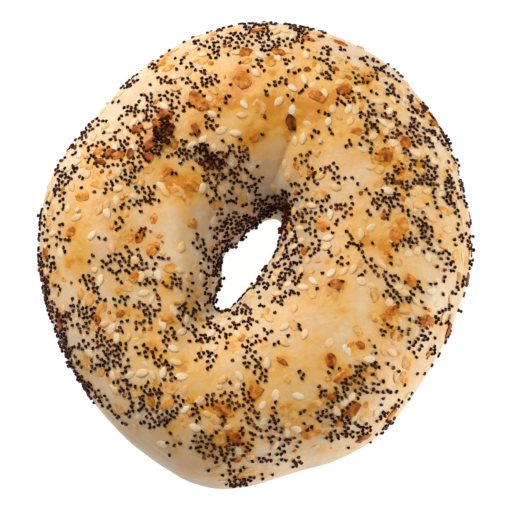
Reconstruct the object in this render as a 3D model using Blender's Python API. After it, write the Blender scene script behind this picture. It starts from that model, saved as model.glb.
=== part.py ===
"""A seeded bagel, lying flat on its base: one ring of baked dough with the sesame seeds and the onion
and garlic flakes of its topping fused to it. Metres, +Z up. The origin is under the middle of the
ring, at the base, and +Y is along its longer diameter.

A place on the crust is a pair of angles. round_ is the angle round the ring, from +X and
anticlockwise from above. over is the angle over the dough there: 0 at the outer side, 90 degrees at
the crest, 180 at the hole and 270 at the base.
"""

from math import asin, pi, radians, tau

import bmesh
import bpy
import numpy as np
from mathutils import Matrix, Vector, noise

MM = 0.001

# The ring
HEIGHT = 36 * MM
WIDEST_AT = 16 * MM  # height of the widest level
BASE_CUT = 0.9 * MM  # how much of the round underside the flat base takes off
TOP_FULLNESS = 2.25  # 2 is an ellipse, more is squarer
BASE_FULLNESS = 3.4
# From the middle to the outer side, every 20 degrees
OUTER_REACH = np.array([53.6, 54.6, 57.2, 59.7, 60.6, 59.9, 56.5, 53.9, 55.4,
                        54.5, 53.9, 54.7, 57.0, 59.3, 55.3, 54.7, 52.1, 51.9]) * MM
# From the hole's own middle to its wall, every 30 degrees
HOLE_REACH = np.array([5.8, 8.4, 13.9, 9.1, 6.2, 6.7, 6.9, 8.4, 16.1, 8.9, 5.6, 4.9]) * MM
HOLE_AT = np.array([-1.8, -1.2]) * MM
# The middle of the outline's own box, which is put over the origin
OUTLINE_MIDDLE = np.array([-0.2, 1.0]) * MM

# Slow lumps that hand shaping leaves in the dough
LUMP_SIZE = 26 * MM
LUMP_SHARE = 0.06  # of the dough's height above its widest level
# Crest height round the ring: waves a turn, phase and height
CREST_WAVES = ((2, radians(40), 0.5 * MM), (3, radians(200), 0.6 * MM))
# Creases at the two ends of the hole, where the rope of dough bends most. Each has its angle round,
# its width clockwise and anticlockwise of that, and how far it is drawn down beside the hole.
CREASES = ((radians(70), radians(6), radians(20), 4.5 * MM),
           (radians(240), radians(9), radians(12), 3.0 * MM))

# The topping
FLAKE_COUNT = 62
FLAKE_LENGTHS = (2.2 * MM, 4.6 * MM)
FLAKE_THICKNESS = 1.0 * MM
SESAME_COUNT = 118
SESAME_SIZE = np.array([3.1, 1.8, 1.0]) * MM
BURIED = 0.35  # share of a piece's thickness that is baked into the crust
SPACING = 3.3 * MM  # least distance between the middles of two pieces
# It starts above the waist and ends above the hole's narrowest level. The angles over are where
# it starts, is full, is still full and ends.
TOPPED = np.radians([8, 48, 138, 160])
# Where the flakes lie thickest, as degrees round and over
FLAKE_PATCHES = ((138, 106), (155, 94), (100, 91), (185, 97), (158, 66), (204, 68), (240, 78), (256, 58),
                 (292, 44), (297, 76), (328, 101), (328, 60), (20, 79), (32, 77), (60, 66), (72, 100))
PATCH_SIZE = 6 * MM
PATCH_EXTRA = 5  # how many times thicker the flakes lie in the middle of a patch
TOPPING_DRAWS = 9000
TOPPING_SEED = 11

RING_STEPS = 86
SECTION_STEPS = 26


def clear_scene():
    for thing in list(bpy.data.objects):
        bpy.data.objects.remove(thing)


def closed_curve(values, angle):
    """The smooth closed curve through values that stand at even angles, read at angle."""
    count = len(values)
    place = (angle % tau) / tau * count
    first = np.floor(place).astype(int) % count
    part = place - np.floor(place)
    before, here, after, beyond = (values[(first + step) % count] for step in (-1, 0, 1, 2))
    return 0.5 * (2 * here
                  + (after - before) * part
                  + (2 * before - 5 * here + 4 * after - beyond) * part**2
                  + (3 * here - before - 3 * after + beyond) * part**3)


def signed_power(value, power):
    return np.sign(value) * np.abs(value) ** power


def lumps(points):
    """The slow lumps at points of the smooth ring, about -1 to 1."""
    return np.array([noise.noise(Vector(point) / LUMP_SIZE) for point in points])


def crease_depth(round_):
    """How far the creases draw the crust down beside the hole."""
    depth = 0
    for at, clockwise, anticlockwise, deepest in CREASES:
        away = (round_ - at + pi) % tau - pi
        width = np.where(away < 0, clockwise, anticlockwise)
        depth = depth + deepest * np.exp(-((away / width) ** 2))
    return depth


def crust(round_, over):
    """Points of the bare crust at arrays of the two angles."""
    ray = np.stack([np.cos(round_), np.sin(round_)], axis=-1)
    outer = closed_curve(OUTER_REACH, round_)[:, None] * ray
    inner = closed_curve(HOLE_REACH, round_)[:, None] * ray + HOLE_AT

    upper = np.sin(over) >= 0
    power = np.where(upper, 2 / TOP_FULLNESS, 2 / BASE_FULLNESS)
    outward = signed_power(np.cos(over), power)
    rise = signed_power(np.sin(over), power)
    crest = HEIGHT - WIDEST_AT
    for waves, phase, height in CREST_WAVES:
        crest = crest + height * np.cos(waves * round_ + phase)
    level = rise * np.where(upper, crest, WIDEST_AT + BASE_CUT)

    flat = (inner + outer) / 2 + outward[:, None] * (outer - inner) / 2
    top_share = np.clip(rise, 0, 1)
    smooth = np.column_stack([flat, level])
    level = level * (1 + LUMP_SHARE * lumps(smooth) * top_share)
    level = level - crease_depth(round_) * np.clip(-outward, 0, 1) * np.sqrt(top_share)
    return np.column_stack([flat - OUTLINE_MIDDLE, np.maximum(WIDEST_AT + level, 0)])


def ring():
    """The dough: a torus whose points are moved onto the crust. Its flat base is a single step."""
    base_edge = asin((WIDEST_AT / (WIDEST_AT + BASE_CUT)) ** (BASE_FULLNESS / 2))
    overs = np.linspace(-base_edge, pi + base_edge, SECTION_STEPS)
    rounds = np.arange(RING_STEPS) * tau / RING_STEPS
    bpy.ops.mesh.primitive_torus_add(major_segments=RING_STEPS, minor_segments=SECTION_STEPS,
                                     major_radius=33 * MM, minor_radius=20 * MM)
    made = bpy.context.object
    made.name = "bagel"
    points = crust(np.repeat(rounds, SECTION_STEPS), np.tile(overs, RING_STEPS))
    made.data.vertices.foreach_set("co", points.ravel())
    made.data.update()
    return made


def crust_area(round_, over):
    """The area that one square radian of the two angles covers on the crust."""
    step = 0.01
    points = crust(round_, over)
    along = crust(round_ + step, over) - points
    upward = crust(round_, over + step) - points
    return np.linalg.norm(np.cross(along, upward), axis=1) / step**2


def scatter(count, patches, chance, taken):
    """Points and turns for count pieces. They lie evenly over the topped part, but for patches, and
    taken holds the points of all the pieces so far."""
    round_ = chance.random(TOPPING_DRAWS) * tau
    over = TOPPED[0] + (TOPPED[3] - TOPPED[0]) * chance.random(TOPPING_DRAWS)
    points = crust(round_, over)
    nearness = 0
    for patch_round, patch_over in np.radians(patches):
        middle = crust(np.array([patch_round]), np.array([patch_over]))
        gap = np.linalg.norm(points - middle, axis=1)
        nearness = nearness + np.exp(-((gap / PATCH_SIZE) ** 2))
    thickness = np.interp(over, TOPPED, (0, 1, 1, 0)) * (1 + PATCH_EXTRA * nearness)
    likely = thickness * crust_area(round_, over)
    kept = chance.random(TOPPING_DRAWS) * likely.max() < likely

    places = []
    for point in points[kept]:
        if len(places) < count and all(np.linalg.norm(point - other) > SPACING for other in taken):
            taken.append(point)
            places.append((Vector(point), chance.random() * tau))
    return places


def finished_mesh(shape, name):
    mesh = bpy.data.meshes.new(name)
    shape.to_mesh(mesh)
    shape.free()
    return mesh


def sesame_mesh():
    """A flat drop: a low ball drawn out to a blunt point at one end."""
    shape = bmesh.new()
    bmesh.ops.create_uvsphere(shape, u_segments=6, v_segments=3, radius=0.5,
                              matrix=Matrix.Rotation(pi / 2, 4, "Y"))
    for corner in shape.verts:
        narrowing = 1 - 0.45 * max(0, 2 * corner.co.x)
        corner.co.yz *= narrowing
    bmesh.ops.scale(shape, vec=SESAME_SIZE, verts=shape.verts)
    return finished_mesh(shape, "sesame")


def flake_mesh(length, slimness, chance):
    """A thin chip with five or six uneven corners."""
    shape = bmesh.new()
    bmesh.ops.create_cone(shape, cap_ends=True, segments=int(chance.integers(5, 7)),
                          radius1=0.5 * length, radius2=0.42 * length, depth=FLAKE_THICKNESS)
    for corner in shape.verts:
        corner.co.y *= slimness
        corner.co *= 0.85 + 0.3 * chance.random()
    return finished_mesh(shape, "flake")


def lay(mesh, point, spin, thickness, body, collection):
    """Puts a piece flat on the crust, sunk so that its buried share is under it."""
    _, seat, outward, _ = body.closest_point_on_mesh(point)
    upright = outward.to_track_quat("Z", "Y").to_matrix().to_4x4()
    turn = Matrix.Rotation(spin, 4, "Z")
    made = bpy.data.objects.new(mesh.name, mesh)
    made.matrix_world = Matrix.Translation(seat + outward * thickness * (0.5 - BURIED)) @ upright @ turn
    collection.objects.link(made)


def topping(body):
    """All the pieces of the topping, in a collection of their own."""
    collection = bpy.data.collections.new("topping")
    bpy.context.scene.collection.children.link(collection)
    chance = np.random.default_rng(TOPPING_SEED)
    taken = []
    flake_places = scatter(FLAKE_COUNT, FLAKE_PATCHES, chance, taken)
    sesame_places = scatter(SESAME_COUNT, (), chance, taken)

    # Most flakes are small
    lengths = FLAKE_LENGTHS[0] + (FLAKE_LENGTHS[1] - FLAKE_LENGTHS[0]) * chance.random(FLAKE_COUNT) ** 1.5
    slimnesses = 0.6 + 0.3 * chance.random(FLAKE_COUNT)
    for (point, spin), length, slimness in zip(flake_places, lengths, slimnesses):
        lay(flake_mesh(length, slimness, chance), point, spin, FLAKE_THICKNESS, body, collection)
    sesame = sesame_mesh()
    for point, spin in sesame_places:
        lay(sesame, point, spin, SESAME_SIZE[2], body, collection)
    return collection


def fuse(body, collection):
    """Joins every piece of the collection to the body, and removes the loose pieces."""
    join = body.modifiers.new("fuse", "BOOLEAN")
    join.operation = "UNION"
    join.operand_type = "COLLECTION"
    join.collection = collection
    join.solver = "EXACT"
    with bpy.context.temp_override(object=body, active_object=body):
        bpy.ops.object.modifier_apply(modifier=join.name)
    for piece in list(collection.objects):
        bpy.data.objects.remove(piece)
    bpy.data.collections.remove(collection)


def crust_material():
    made = bpy.data.materials.new("baked_crust")
    made.use_nodes = True
    shader = made.node_tree.nodes["Principled BSDF"]
    shader.inputs["Base Color"].default_value = (0.76, 0.52, 0.27, 1)
    shader.inputs["Roughness"].default_value = 0.5
    shader.inputs["Metallic"].default_value = 0
    return made


def main():
    clear_scene()
    body = ring()
    fuse(body, topping(body))
    body.data.materials.clear()
    body.data.materials.append(crust_material())
    body.data.shade_smooth()
    body.data.set_sharp_from_angle(angle=radians(35))
    home = bpy.data.collections.new("seeded_bagel")
    bpy.context.scene.collection.children.link(home)
    for owner in body.users_collection:
        owner.objects.unlink(body)
    home.objects.link(body)


main()
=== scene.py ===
"""How the bagel looks: its baked crust, and the flakes, seeds and salt that are baked onto it.

A place on the crust is a pair of angles, as in the part's own source. round_ is the angle round the
ring, from +X and anticlockwise from above. over is the angle over the dough there: 0 at the outer
side, 90 degrees at the crest, 180 at the hole and 270 at the base. Lists of places are in degrees.
"""

from collections import namedtuple
from math import asin, atan2, cos, pi, radians, sin, tau

import bmesh
import bpy
import numpy as np
from mathutils import Matrix, Vector, noise
from mathutils.bvhtree import BVHTree


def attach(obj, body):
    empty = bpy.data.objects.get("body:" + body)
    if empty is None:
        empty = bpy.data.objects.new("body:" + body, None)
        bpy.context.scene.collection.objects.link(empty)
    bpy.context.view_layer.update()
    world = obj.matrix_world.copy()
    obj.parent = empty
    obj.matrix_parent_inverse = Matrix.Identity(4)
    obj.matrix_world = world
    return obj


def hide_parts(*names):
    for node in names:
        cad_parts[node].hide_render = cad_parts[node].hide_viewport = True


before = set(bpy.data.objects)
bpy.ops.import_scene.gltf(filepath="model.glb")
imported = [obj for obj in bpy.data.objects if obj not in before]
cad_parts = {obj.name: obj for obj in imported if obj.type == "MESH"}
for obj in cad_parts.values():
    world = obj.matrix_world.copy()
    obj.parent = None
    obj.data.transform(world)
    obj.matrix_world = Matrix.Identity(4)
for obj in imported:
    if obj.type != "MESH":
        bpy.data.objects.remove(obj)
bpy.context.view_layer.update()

MM = 0.001

# The ring, with the part's own sizes
HEIGHT = 36 * MM
WIDEST_AT = 16 * MM
BASE_CUT = 0.9 * MM
TOP_FULLNESS = 2.25
BASE_FULLNESS = 3.4
OUTER_REACH = np.array([53.6, 54.6, 57.2, 59.7, 60.6, 59.9, 56.5, 53.9, 55.4,
                        54.5, 53.9, 54.7, 57.0, 59.3, 55.3, 54.7, 52.1, 51.9]) * MM
HOLE_REACH = np.array([5.8, 8.4, 13.9, 9.1, 6.2, 6.7, 6.9, 8.4, 16.1, 8.9, 5.6, 4.9]) * MM
HOLE_AT = np.array([-1.8, -1.2]) * MM
OUTLINE_MIDDLE = np.array([-0.2, 1.0]) * MM
LUMP_SIZE = 26 * MM
LUMP_SHARE = 0.06
CREST_WAVES = ((2, radians(40), 0.5 * MM), (3, radians(200), 0.6 * MM))
CREASES = ((radians(70), radians(6), radians(20), 4.5 * MM),
           (radians(240), radians(9), radians(12), 3.0 * MM))

# The crust's own mesh, and its fine relief: size of the lumps and their height
ROUND_STEPS = 560
OVER_STEPS = 166
BASE_STEPS = 8
RELIEF = ((9.0 * MM, 0.30 * MM), (4.2 * MM, 0.10 * MM), (1.9 * MM, 0.03 * MM))
# Below this level the relief fades out, so that the base is flat
RELIEF_LEVEL = 3 * MM
# Lines that are pressed into the crust: places along each, width and depth
GROOVES = ((((71, 106), (70, 114), (70, 124), (71, 132), (72, 141)), 0.55 * MM, 0.45 * MM),
           (((47, 30), (43, 24), (39, 19), (35, 15)), 0.7 * MM, 0.35 * MM),
           (((45, 22), (41, 16), (37, 11)), 0.7 * MM, 0.30 * MM),
           (((236, 24), (241, 19), (248, 16)), 0.8 * MM, 0.16 * MM),
           (((228, 15), (233, 11), (240, 9)), 0.8 * MM, 0.16 * MM))
# The share of its length in which a groove reaches its depth
GROOVE_START = 1 / 6

# How baked the crust is, from 0, pale, to 1, toasted: the even part, what the crown adds from a level
# upwards, what is lost from an angle over the dough down into the hole, and the noise with its sizes
BAKED = 0.115
CROWN_BAKED = 0.33
CROWN_LEVEL = 25 * MM
CROWN_RISE = 11 * MM
HOLE_PALER = 0.18
HOLE_OVER = 124
HOLE_SPAN = 36
BAKED_NOISE = ((14 * MM, 0.13), (6 * MM, 0.14))
BAKED_NOISE_LAYER = 5
UNDERSIDE_BAKED = 0.55
UNDERSIDE_LEVEL = 4 * MM
# Where it is browner: places, with the spot's radius in mm and how much
GOLDEN = (
    (75, 97, 7, 0.17), (64, 93, 6, 0.20), (82, 87, 8, 0.22), (100, 84, 7, 0.16), (144, 91, 7, 0.15),
    (158, 82, 5, 0.08), (136, 111, 4, 0.15), (171, 63, 6, 0.08), (185, 58, 6, 0.06), (48, 90, 6, 0.15),
    (244, 88, 7, 0.12), (92, 93, 10, 0.14), (266, 76, 5, 0.16), (328, 100, 6, 0.15), (332, 74, 6, 0.12),
    (298, 73, 8, 0.2), (31, 76, 5, 0.07), (356, 92, 6, 0.17), (60, 121, 4, 0.15), (222, 10, 8, 0.15),
    (236, 15, 10, 0.25), (250, 10, 10, 0.27), (264, 12, 9, 0.25), (290, 14, 9, 0.12), (318, 12, 10, 0.12),
    (330, 8, 8, 0.10), (188, 28, 8, 0.13), (356, 22, 8, 0.12), (260, 52, 9, 0.20), (282, 44, 8, 0.20),
    (300, 20, 7, 0.12), (219, 98, 7, 0.05), (232, 84, 7, 0.20), (109, 87, 8, 0.12), (48, 46, 7, 0.14),
    (317, 110, 7, 0.26), (355, 98, 7, 0.15), (2, 24, 8, 0.12), (350, 20, 8, 0.12), (186, 10, 8, 0.12),
    (95, 108, 7, 0.06), (78, 110, 7, 0.10), (50, 92, 6, 0.12), (132, 118, 6, 0.12), (283, 68, 7, 0.15),
    (40, 25, 8, 0.10), (253, 70, 7, 0.14), (187, 50, 10, 0.10), (74, 88, 6, 0.10))
# Where it is paler
PALE = (
    (238, 60, 8, 0.29), (92, 50, 7, 0.20), (150, 80, 6, 0.12), (192, 108, 6, 0.18), (205, 68, 7, 0.12),
    (203, 48, 8, 0.15), (257, 38, 8, 0.14), (292, 30, 7, 0.16), (297, 58, 7, 0.12), (30, 45, 7, 0.14),
    (329, 85, 6, 0.12), (66, 42, 7, 0.14), (319, 135, 8, 0.20), (152, 62, 6, 0.12), (123, 63, 6, 0.12),
    (117, 37, 7, 0.12), (344, 138, 8, 0.12), (334, 55, 6, 0.12), (130, 40, 11, 0.14), (46, 66, 7, 0.2),
    (354, 66, 7, 0.15), (341, 38, 8, 0.12), (311, 44, 8, 0.08), (305, 128, 8, 0.10), (30, 99, 5, 0.12),
    (183, 42, 6, 0.1), (186, 112, 7, 0.14), (155, 85, 6, 0.10), (150, 37, 8, 0.30), (33, 68, 6, 0.10),
    (82, 60, 7, 0.10), (235, 101, 7, 0.10))
# Painted shade: spots where the crust's colour is darkened to stand for shade, in and by the hole, and in
# patches on the crown
PAINTED_SHADE_SPOTS = (
    (55, 152, 7, 0.5), (20, 136, 8, 0.45), (340, 130, 9, 0.35), (318, 128, 8, 0.35), (261, 146, 6, 0.35),
    (111, 178, 6, 0.5), (152, 78, 8, 0.25), (168, 86, 7, 0.15), (184, 86, 8, 0.28), (199, 82, 7, 0.32),
    (128, 74, 7, 0.35), (122, 104, 8, 0.22), (92, 44, 8, 0.15), (60, 40, 7, 0.15))

# The topping that the solid has too, laid out by the part's own rule
FLAKE_COUNT = 62
FLAKE_LENGTHS = (2.2 * MM, 4.6 * MM, 1.5)
FLAKE_SLIMNESS = (0.6, 0.9)
SESAME_COUNT = 118
SPACING = 3.3 * MM
TOPPED = np.radians([8, 48, 138, 160])
FLAKE_PATCHES = (
    (138, 106), (155, 94), (100, 91), (185, 97), (158, 66), (204, 68), (240, 78), (256, 58), (292, 44),
    (297, 76), (328, 101), (328, 60), (20, 79), (32, 77), (60, 66), (72, 100))
PATCH_RADIUS = 6
PATCH_EXTRA = 5
TOPPING_DRAWS = 9000
TOPPING_SEED = 11

# How the topping is cut and laid. Chance picks between two limits, and a third number is a power that
# draws it to the lower one. Slimness is the width as a share of the length, room is the radius that
# the others keep off, tilt is a whole range, and tints are places on a colour ramp
FLAKE_ROOM_SHARE = 0.36
FLAKE_THICKNESS = 0.60 * MM
FLAKE_LIFT = -0.06 * MM
FLAKE_TILT = radians(10)
FLAKE_TINTS = (0.05, 0.67, 1.7)
SESAME_LENGTHS = (2.7 * MM, 3.4 * MM)
SESAME_SLIMNESS = 0.62
SESAME_THICKNESS = 0.80 * MM
SESAME_ROOM = 1.0 * MM
SESAME_LIFT = 0.04 * MM
SESAME_TILT = radians(18)
SESAME_TINTS = (0, 0.75, 1.4)

# Flakes that stand out: places, length and width in mm, heading in degrees, and how toasted
MARKED_FLAKES = (
    (94, 80, 4.4, 3.8, 70, 0.42), (112, 82, 5.8, 3.4, 120, 0.52), (66, 87, 4.4, 2.5, 150, 0.52),
    (59, 76, 3.2, 2.6, 20, 0.45), (32, 78, 3.6, 2.4, 95, 0.70), (33, 81, 3.2, 2.8, 10, 0.50),
    (0, 80, 4.0, 3.6, 60, 0.40), (72, 102, 4.0, 2.2, 95, 0.90), (328, 99, 3.6, 2.6, 140, 0.62),
    (270, 78, 3.4, 3.0, 30, 0.55), (260, 71, 3.8, 3.0, 160, 0.60), (298, 44, 4.2, 3.0, 60, 0.68),
    (139, 113, 4.4, 2.6, 170, 0.45), (183, 27, 2.8, 2.0, 90, 0.68), (36, 18, 3.2, 2.2, 120, 0.55),
    (352, 8, 3.0, 1.6, 100, 0.70), (300, 78, 3.2, 2.6, 80, 0.70), (300, 66, 3.2, 2.2, 40, 0.38),
    (285, 40, 4.0, 2.8, 10, 0.36), (264, 54, 3.6, 3.0, 150, 0.62), (189, 102, 3.2, 2.2, 60, 0.42),
    (179, 56, 2.6, 2.0, 20, 0.45), (83, 63, 3.2, 2.0, 150, 0.62), (93, 62, 3.0, 2.4, 30, 0.60),
    (68, 37, 3.6, 2.0, 145, 0.62), (333, 44, 3.4, 2.2, 45, 0.66), (298, 12, 3.4, 2.6, 20, 0.62),
    (138, 82, 4.6, 2.0, 40, 0.72), (131, 78, 4.2, 1.8, 110, 0.66), (126, 76, 3.4, 2.2, 160, 0.58),
    (137, 70, 3.2, 2.0, 10, 0.62), (150, 66, 3.0, 1.6, 30, 0.70), (343, 66, 3.4, 2.2, 120, 0.50),
    (192, 12, 2.8, 1.8, 20, 0.75), (128, 84, 3.4, 2.0, 60, 0.78), (143, 86, 3.0, 1.8, 140, 0.70),
    (149, 72, 3.6, 2.0, 20, 0.55), (146, 77, 3.0, 1.6, 70, 0.72), (154, 64, 3.2, 1.4, 150, 0.82),
    (143, 98, 2.8, 1.8, 30, 0.50), (118, 92, 3.0, 1.6, 110, 0.66))
# More of them, which lie over the seeds
TOP_FLAKES = (
    (336, 12, 3.2, 1.8, 100, 0.66), (308, 12, 3.2, 2.2, 60, 0.42), (203, 24, 3.0, 2.0, 80, 0.74),
    (182, 96, 3.2, 1.8, 60, 0.62), (201, 90, 2.8, 2.2, 20, 0.42), (209, 60, 2.8, 1.8, 100, 0.58),
    (212, 76, 2.0, 1.4, 30, 0.62), (226, 101, 3.0, 2.2, 20, 0.40), (56, 58, 3.0, 2.2, 80, 0.36),
    (35, 28, 3.2, 1.8, 20, 0.66), (26, 73, 3.0, 2.4, 100, 0.40), (330, 68, 3.2, 2.0, 30, 0.56),
    (282, 88, 3.0, 1.2, 140, 0.62), (76, 46, 3.0, 1.6, 150, 0.58), (90, 41, 3.2, 1.8, 20, 0.60))
# Their room as a share of the mean of length and width, and how much larger the ragged chips are made
MARKED_ROOM_SHARE = 0.20
MARKED_SPREAD = 1.15
MARKED_THICKNESS = (0.32 * MM, 0.92 * MM)
MARKED_LIFT = 0.14 * MM
MARKED_TILT = radians(12)

# The kinds that are too fine for the solid, with sizes in mm. With by_length, thickness and lift are
# shares of the length instead
Kind = namedtuple("Kind", "count room lengths slimness thickness lift tilt tints by_length",
                  defaults=(False,))
THIN_FLAKES = Kind(90, room=1.0, lengths=(1.8, 3.8), slimness=(0.55, 0.95), thickness=0.26, lift=0,
                   tilt=0, tints=(0, 0.26))
SMALL_FLAKES = Kind(60, room=0.65, lengths=(1.2, 2.4), slimness=(0.5, 0.9), thickness=(0.45, 0.7),
                    lift=0.05, tilt=radians(30), tints=(0.20, 0.80, 1.5))
CRUMBS = Kind(130, room=0.3, lengths=(0.5, 1.1), slimness=(0.6, 1.0), thickness=0.6, lift=0.12,
              tilt=radians(40), tints=(0.1, 0.9), by_length=True)
GARLIC_BITS = Kind(60, room=0.75, lengths=(1.5, 2.6, 1.4), slimness=(0.7, 1.0), thickness=(0.4, 0.7),
                   lift=0.02, tilt=radians(24), tints=(0, 0.7))
MORE_SESAME = Kind(170, room=0.9, lengths=(2.7, 3.4), slimness=0.62, thickness=0.80, lift=(-0.26, 0.08),
                   tilt=radians(26), tints=(0, 0.8, 1.2))
SALT_CRYSTALS = Kind(4, room=0.7, lengths=(0.9, 1.5), slimness=0.85, thickness=0.75, lift=0.2,
                     tilt=radians(50), tints=(0, 1), by_length=True)
# Where these may lie, by the angle over the dough, how many draws there are for each piece, and how
# thick they lie at some angles
STREWN_OVER = (radians(-12), radians(172))
STREWN_DRAWS = 12
STREWN_AT = np.radians([0, 45, 140, 168])
STREWN_THICKNESS = (0, 1, 1, 0.3)
# How thick sesame seeds lie on the bare patches
SESAME_EVEN = 0.1
# How thick flakes lie away from their patches, and the radius of these in mm
FLAKES_EVEN = 0.25
FLAKE_PATCH_RADIUS = 6.5

# Poppy seeds
POPPY_SIZES = (1.00 * MM, 1.18 * MM)
POPPY_TINTS = (0, 0.75, 1.5)
POPPY_LIFT = 0.20 * MM
POPPY_TUMBLE = radians(80)
POPPY_ROOM = 0.48 * MM
POPPY_SEED = 2
# A clump of this many is heaped. The seeds on top lie this far aside and up, with less room
HEAPED_COUNT = 30
HEAP_ASIDE = 0.56 * MM
HEAP_RISE = 0.66 * MM
HEAP_ROOM = 0.36 * MM
HEAP_CHANCE = 0.8
# How far apart neighbours lie at least, and the most that is left between them, in seed widths
CLUMP_GAP = 1.01
CLUMP_SLACK = 0.60
HEAP_SLACK = 0.04
LOOSE_SLACK = 1.0
SLACK_POWER = 1.4
# How many tries a clump makes for each seed
CLUMP_TRIES = 14
# Clumps of poppy seeds: places, with how many
CLUMPS = (
    (134, 77, 30), (134, 83, 30), (138, 87, 20), (129, 93, 20), (121, 101, 34), (60, 165, 16),
    (98, 112, 16), (124, 115, 12), (109, 93, 8), (99, 130, 18), (196, 80, 7), (19, 110, 6), (255, 74, 8),
    (32, 133, 12), (202, 50, 12), (22, 76, 14), (358, 76, 14), (155, 49, 13), (148, 31, 12), (146, 68, 14),
    (150, 82, 24), (157, 92, 15), (128, 34, 8), (131, 67, 16), (131, 61, 8), (126, 66, 10), (118, 62, 8),
    (92, 44, 14), (64, 68, 12), (79, 38, 12), (56, 50, 15), (49, 73, 11), (39, 76, 18), (39, 25, 12),
    (21, 67, 28), (18, 36, 16), (13, 76, 26), (0, 68, 24), (358, 101, 10), (45, 117, 12), (192, 16, 14),
    (201, 62, 16), (205, 56, 14), (210, 57, 16), (231, 116, 15), (239, 61, 26), (246, 47, 18),
    (248, 64, 12), (254, 55, 24), (216, 64, 14), (293, 58, 12), (214, 90, 12), (263, 48, 20), (33, 68, 10),
    (248, 102, 12), (248, 114, 8), (265, 73, 14), (265, 4, 14), (294, 125, 12), (335, 66, 14),
    (309, 61, 12), (199, 97, 8), (296, 57, 28), (296, 49, 22), (277, 48, 12), (196, 11, 10), (279, 9, 8),
    (220, 13, 14), (206, 22, 16), (223, 50, 12), (230, 54, 14))
# Rows of them, round the hole and along the ring's sides: places along each, how many lie at every step
# of a seed's width, and the share of the steps that have any
POPPY_ROWS = (
    (((22, 142), (2, 142), (345, 146), (321, 148), (297, 151), (276, 160)), 4, 0.5),
    (((352, 128), (334, 130), (311, 130)), 2, 0.4),
    (((150, 176), (165, 182), (202, 181)), 2, 0.15),
    (((204, 181), (215, 186), (228, 180), (237, 168)), 3, 0.42),
    (((66, 176), (74, 179), (84, 184)), 5, 0.9),
    (((90, 187), (112, 188), (135, 182), (150, 176)), 2, 0.25),
    (((66, 172), (50, 176), (40, 172), (30, 163), (13, 160), (356, 162)), 4, 0.2),
    (((63, 168), (52, 160), (45, 152), (38, 156), (25, 150)), 6, 0.8),
    (((170, 14), (178, 18), (190, 17)), 2, 0.25),
    (((208, 10), (214, 7), (221, 5)), 3, 0.6),
    (((32, 18), (27, 15), (22, 15)), 2, 0.7),
    (((8, 14), (354, 10), (342, 6)), 1, 0.15))
# Loose ones: how many groups, and how many may lie together in one
LOOSE_GROUP_COUNT = 970
LOOSE_GROUPS = (1, 1, 1, 1, 1, 2, 2, 2, 3, 3, 4, 6)
# How thick they lie, evenly and in the drifts, by the angle over the dough in degrees
POPPY_EVEN = 0.42
POPPY_EVEN_OVER = ((0, 12, 45), (0.04, 0.3, 1))
POPPY_DRIFTS = 0.8
POPPY_DRIFTS_OVER = ((-12, 8), (0.1, 1))
POPPY_UNEVEN = 0.9
POPPY_UNEVEN_LIMITS = (0.1, 1.8)
POPPY_UNEVEN_SIZE = 5 * MM
POPPY_UNEVEN_LAYER = 11
# Where loose ones drift together: places, with the radius in mm and how much
DRIFTS = (
    (112, 56, 9, 0.6), (97, 45, 9, 0.4), (80, 32, 9, 0.6), (60, 64, 8, 0.5), (36, 46, 10, 0.4),
    (20, 58, 9, 0.5), (338, 42, 9, 0.55), (309, 68, 9, 0.3), (298, 42, 8, 0.2), (268, 32, 7, 0.5),
    (262, 20, 8, 0.15), (230, 55, 9, 0.8), (212, 28, 10, 0.4), (194, 30, 9, 0.4), (202, 98, 9, 0.6),
    (229, 112, 8, 0.6), (104, 147, 9, 1.0), (120, 165, 9, 0.25), (165, 165, 9, 0.15), (55, 135, 8, 0.8),
    (310, 132, 8, 0.4), (172, 80, 8, 0.3), (252, 108, 8, 0.8), (146, 70, 10, 0.3), (85, 165, 8, 0.5),
    (185, 12, 8, 0.4), (356, 8, 9, 0.2), (172, 28, 7, 0.2), (324, 5, 7, 0.28), (310, 4, 7, 0.32))
# Bare patches, with hardly any seeds or flakes: places, with the radius in mm and how bare
BARE = (
    (118, 91, 6, 0.8), (75, 100, 11, 0.9), (186, 62, 11, 0.95), (156, 118, 8, 0.8), (244, 86, 8, 0.5),
    (236, 14, 12, 0.9), (256, 14, 10, 0.6), (307, 92, 10, 0.95), (312, 28, 9, 0.8), (348, 54, 7, 0.95),
    (35, 98, 8, 0.7), (90, 88, 8, 0.7), (66, 146, 6, 0.8), (10, 103, 8, 0.4), (125, 43, 8, 0.95),
    (288, 78, 8, 0.95), (286, 66, 5, 0.3), (325, 84, 6, 0.8), (78, 114, 6, 0.9), (10, 22, 7, 0.9),
    (141, 133, 7, 0.7), (72, 138, 6, 0.9), (142, 105, 6, 0.7), (182, 119, 6, 0.7), (62, 20, 7, 0.4),
    (48, 34, 7, 0.6), (283, 8, 6, 0.6), (252, 93, 9, 0.85), (261, 144, 6, 0.6), (331, 26, 5, 0.6),
    (122, 78, 5, 0.5), (171, 62, 6, 0.8), (356, 92, 6, 0.6), (229, 32, 5, 0.4), (48, 99, 6, 0.7),
    (160, 11, 7, 0.8), (290, -8, 8, 0.8), (68, 47, 6, 0.6), (276, 77, 6, 0.7), (208, 42, 6, 0.7),
    (188, 28, 6, 0.5), (104, 52, 5, 0.6), (112, 30, 6, 0.5), (166, 98, 5, 0.7), (346, 2, 7, 0.85),
    (60, 32, 8, 0.5), (138, 42, 6, 0.7), (256, 30, 5, 0.5))
BARE_LEAST = 0.04

# Soft blotches on the crust, golden or creamy, where thin bits have melted into it
BLOTCH_COUNT = 420
BLOTCH_SIZES = (0.9 * MM, 2.4 * MM)
BLOTCH_STRENGTHS = (-0.5, 0.8)
# Amber spots where a flake has melted away
MELTED_COUNT = 60
MELTED_ROOM = 0.6 * MM
MELTED_SIZES = (0.7 * MM, 1.8 * MM)
MELTED_STRENGTH = 1.2
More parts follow.
